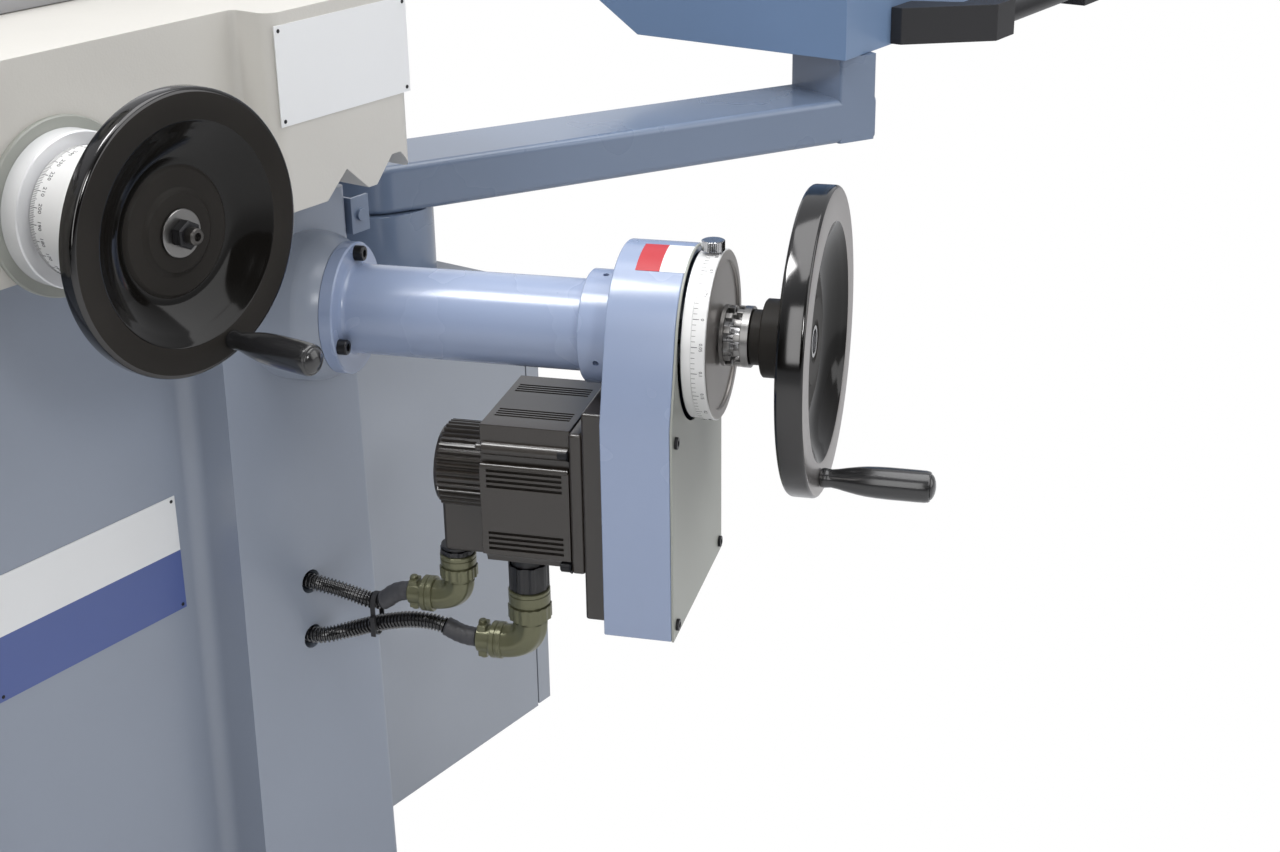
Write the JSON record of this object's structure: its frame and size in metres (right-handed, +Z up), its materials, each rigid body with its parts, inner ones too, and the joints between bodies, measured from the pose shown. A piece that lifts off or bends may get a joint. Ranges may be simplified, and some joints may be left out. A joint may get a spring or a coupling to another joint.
{
  "type": "surface grinder",
  "caption": "Saddle-type surface grinder with handwheel and servo down feed, cross-feed dial, side cabinet and a swivelling control box.",
  "frame": {"origin": "on the floor, at the centre of the front right levelling foot", "axes": "+X to the operator's right along the table, +Y to the back, +Z up"},
  "size_m": [2.196, 1.5827, 1.724],
  "materials": {
    "base_paint": "satin blue-grey machine enamel",
    "saddle_paint": "textured grey-beige machine enamel",
    "feed_paint": "light blue machine enamel",
    "cover_paint": "satin grey-green enamel on steel sheet",
    "motor_paint": "semi-gloss black-brown enamel",
    "cabinet_paint": "satin blue sheet-steel enamel",
    "iron": "machined and scraped iron",
    "black_iron": "polished and blackened",
    "steel": "turned and ground steel",
    "dark_steel": "black-oxide steel",
    "scale_metal": "satin anodised",
    "olive_alloy": "olive anodised",
    "black_plastic": "moulded black plastic",
    "gloss_black": "glossy black plastic",
    "red_plastic": "red push button",
    "belt_rubber": "moulded rubber belt",
    "sleeve_rubber": "shrunk grey tube",
    "stone": "bonded abrasive"
  },
  "bodies": {
    "frame": {"base": "base_paint", "levelling_feet": "dark_steel", "column": "base_paint", "feed_tube": "feed_paint", "cap_screws": "dark_steel", "feed_bearings": "steel", "tube_collar": "feed_paint", "gear_housing": "feed_paint", "housing_cover": "cover_paint", "motor_adapter": "motor_paint", "servo_motor": "motor_paint", "encoder_cover": "motor_paint", "power_connector": "olive_alloy", "encoder_connector": "olive_alloy", "power_conduit": "gloss_black", "encoder_conduit": "gloss_black", "conduit_sleeves": "sleeve_rubber", "cable_tie": "black_plastic", "timing_belt": "belt_rubber", "cabinet_shell": "cabinet_paint", "arm_post": "cabinet_paint", "guard_tab": "dark_steel"},
    "cabinet_door": {"cabinet_door": "cabinet_paint"},
    "feed_drive": {"feed_shaft": "steel", "down_dial": "scale_metal", "dial_clutch_ring": "steel", "drive_pulley": "steel"},
    "dial_lock": {"dial_lock_screw": "steel"},
    "servo_rotor": {"motor_pulley": "steel"},
    "wheel_bush": {"down_bush": "steel"},
    "down_wheel": {"down_handwheel": "black_iron", "wheel_clutch_ring": "steel", "down_grip_pin": "steel"},
    "down_grip": {"down_grip": "gloss_black"},
    "saddle": {"saddle": "saddle_paint", "cross_flange": "cover_paint", "cross_drum": "scale_metal"},
    "cross_feed": {"cross_screw": "steel", "cross_dial": "scale_metal", "cross_handwheel": "black_iron", "cross_hub_nut": "dark_steel", "cross_grip_pin": "steel"},
    "cross_grip": {"cross_grip": "gloss_black"},
    "table": {"table": "iron", "magnetic_chuck": "steel", "splash_guard": "saddle_paint"},
    "table_wheel": {"table_handwheel": "black_iron", "table_grip_pin": "steel"},
    "table_grip": {"table_grip": "gloss_black"},
    "wheel_head": {"head_casting": "saddle_paint", "spindle_motor": "base_paint", "wheel_guard": "saddle_paint"},
    "spindle": {"spindle": "steel", "grinding_wheel": "stone"},
    "lead_screw": {"elevating_screw": "steel"},
    "swivel_arm": {"swivel_arm": "cabinet_paint"},
    "control_box": {"pendant_box": "cabinet_paint", "handle_brackets": "black_plastic", "handle_tube": "dark_steel"},
    "emergency_stop": {"emergency_stop": "red_plastic"}
  },
  "joints": [
    {"name": "cabinet_door_hinge", "type": "hinge", "parent": "frame", "child": "cabinet_door", "pos_m": [0.363, 0.283, 0.3], "axis": [0, 0, 1], "range_deg": [0, 115]},
    {"name": "down_feed_turn", "type": "hinge", "parent": "frame", "child": "feed_drive", "pos_m": [-0.016, -0.07, 0.674], "axis": [0.3548, -0.9349, 0], "range_deg": [-32430, 90030]},
    {"name": "dial_lock_turn", "type": "hinge", "parent": "feed_drive", "child": "dial_lock", "pos_m": [0.1103, -0.40284, 0.749], "axis": [0, 0, 1], "range_deg": [0, 540]},
    {"name": "servo_turn", "type": "hinge", "parent": "frame", "child": "servo_rotor", "pos_m": [-0.016, -0.07, 0.539], "axis": [0.3548, -0.9349, 0], "range_deg": [-51410, 142610]},
    {"name": "wheel_engage", "type": "slide", "parent": "frame", "child": "wheel_bush", "axis": [-0.3548, 0.9349, 0], "range_m": [0, 0.0065]},
    {"name": "down_wheel_turn", "type": "hinge", "parent": "wheel_bush", "child": "down_wheel", "pos_m": [0.1401, -0.48138, 0.674], "axis": [0.3548, -0.9349, 0], "continuous": true},
    {"name": "down_grip_turn", "type": "hinge", "parent": "down_wheel", "child": "down_grip", "pos_m": [0.113, -0.50343, 0.57069], "axis": [0.3548, -0.9349, 0], "continuous": true},
    {"name": "cross_feed_turn", "type": "hinge", "parent": "saddle", "child": "cross_feed", "pos_m": [-0.278, -0.104, 0.83], "axis": [0, 1, 0], "range_deg": [-7210, 9010]},
    {"name": "saddle_slide", "type": "slide", "parent": "frame", "child": "saddle", "axis": [0, 1, 0], "range_m": [-0.1, 0.125]},
    {"name": "cross_grip_turn", "type": "hinge", "parent": "cross_feed", "child": "cross_grip", "pos_m": [-0.25053, -0.235, 0.74692], "axis": [0, -1, 0], "continuous": true},
    {"name": "table_slide", "type": "slide", "parent": "saddle", "child": "table", "axis": [1, 0, 0], "range_m": [-0.28, 0.28]},
    {"name": "table_wheel_turn", "type": "hinge", "parent": "saddle", "child": "table_wheel", "pos_m": [-0.54, -0.143, 0.86], "axis": [0, -1, 0], "range_deg": [-730, 730]},
    {"name": "table_grip_turn", "type": "hinge", "parent": "table_wheel", "child": "table_grip", "pos_m": [-0.59286, -0.215, 0.81565], "axis": [0, -1, 0], "continuous": true},
    {"name": "head_slide", "type": "slide", "parent": "frame", "child": "wheel_head", "axis": [0, 0, 1], "range_m": [-0.09, 0.25]},
    {"name": "lead_screw_turn", "type": "hinge", "parent": "frame", "child": "lead_screw", "pos_m": [-0.278, 0.752, 0.8], "axis": [0, 0, 1], "range_deg": [-6490, 18010]},
    {"name": "spindle_turn", "type": "hinge", "parent": "wheel_head", "child": "spindle", "pos_m": [-0.278, 0.29, 1.3], "axis": [0, -1, 0], "continuous": true},
    {"name": "arm_swing", "type": "hinge", "parent": "frame", "child": "swivel_arm", "pos_m": [0.31, 0.144, 0.67], "axis": [0, 0, 1], "range_deg": [-12, 70]},
    {"name": "box_swivel", "type": "hinge", "parent": "swivel_arm", "child": "control_box", "pos_m": [0.81339, -0.10589, 0.749], "axis": [0, 0, 1], "range_deg": [-60, 15]},
    {"name": "emergency_stop_push", "type": "slide", "parent": "control_box", "child": "emergency_stop", "axis": [0, 1, 0], "range_m": [0, 0.004]}
  ],
  "couplings": [
    {"joint": "down_feed_turn", "follows": "head_slide", "rad_per_m": 6283.2},
    {"joint": "servo_turn", "follows": "head_slide", "rad_per_m": 9948.4},
    {"joint": "lead_screw_turn", "follows": "head_slide", "rad_per_m": 1256.6},
    {"joint": "cross_feed_turn", "follows": "saddle_slide", "rad_per_m": 1256.6},
    {"joint": "table_wheel_turn", "follows": "table_slide", "rad_per_m": 45.455}
  ]
}
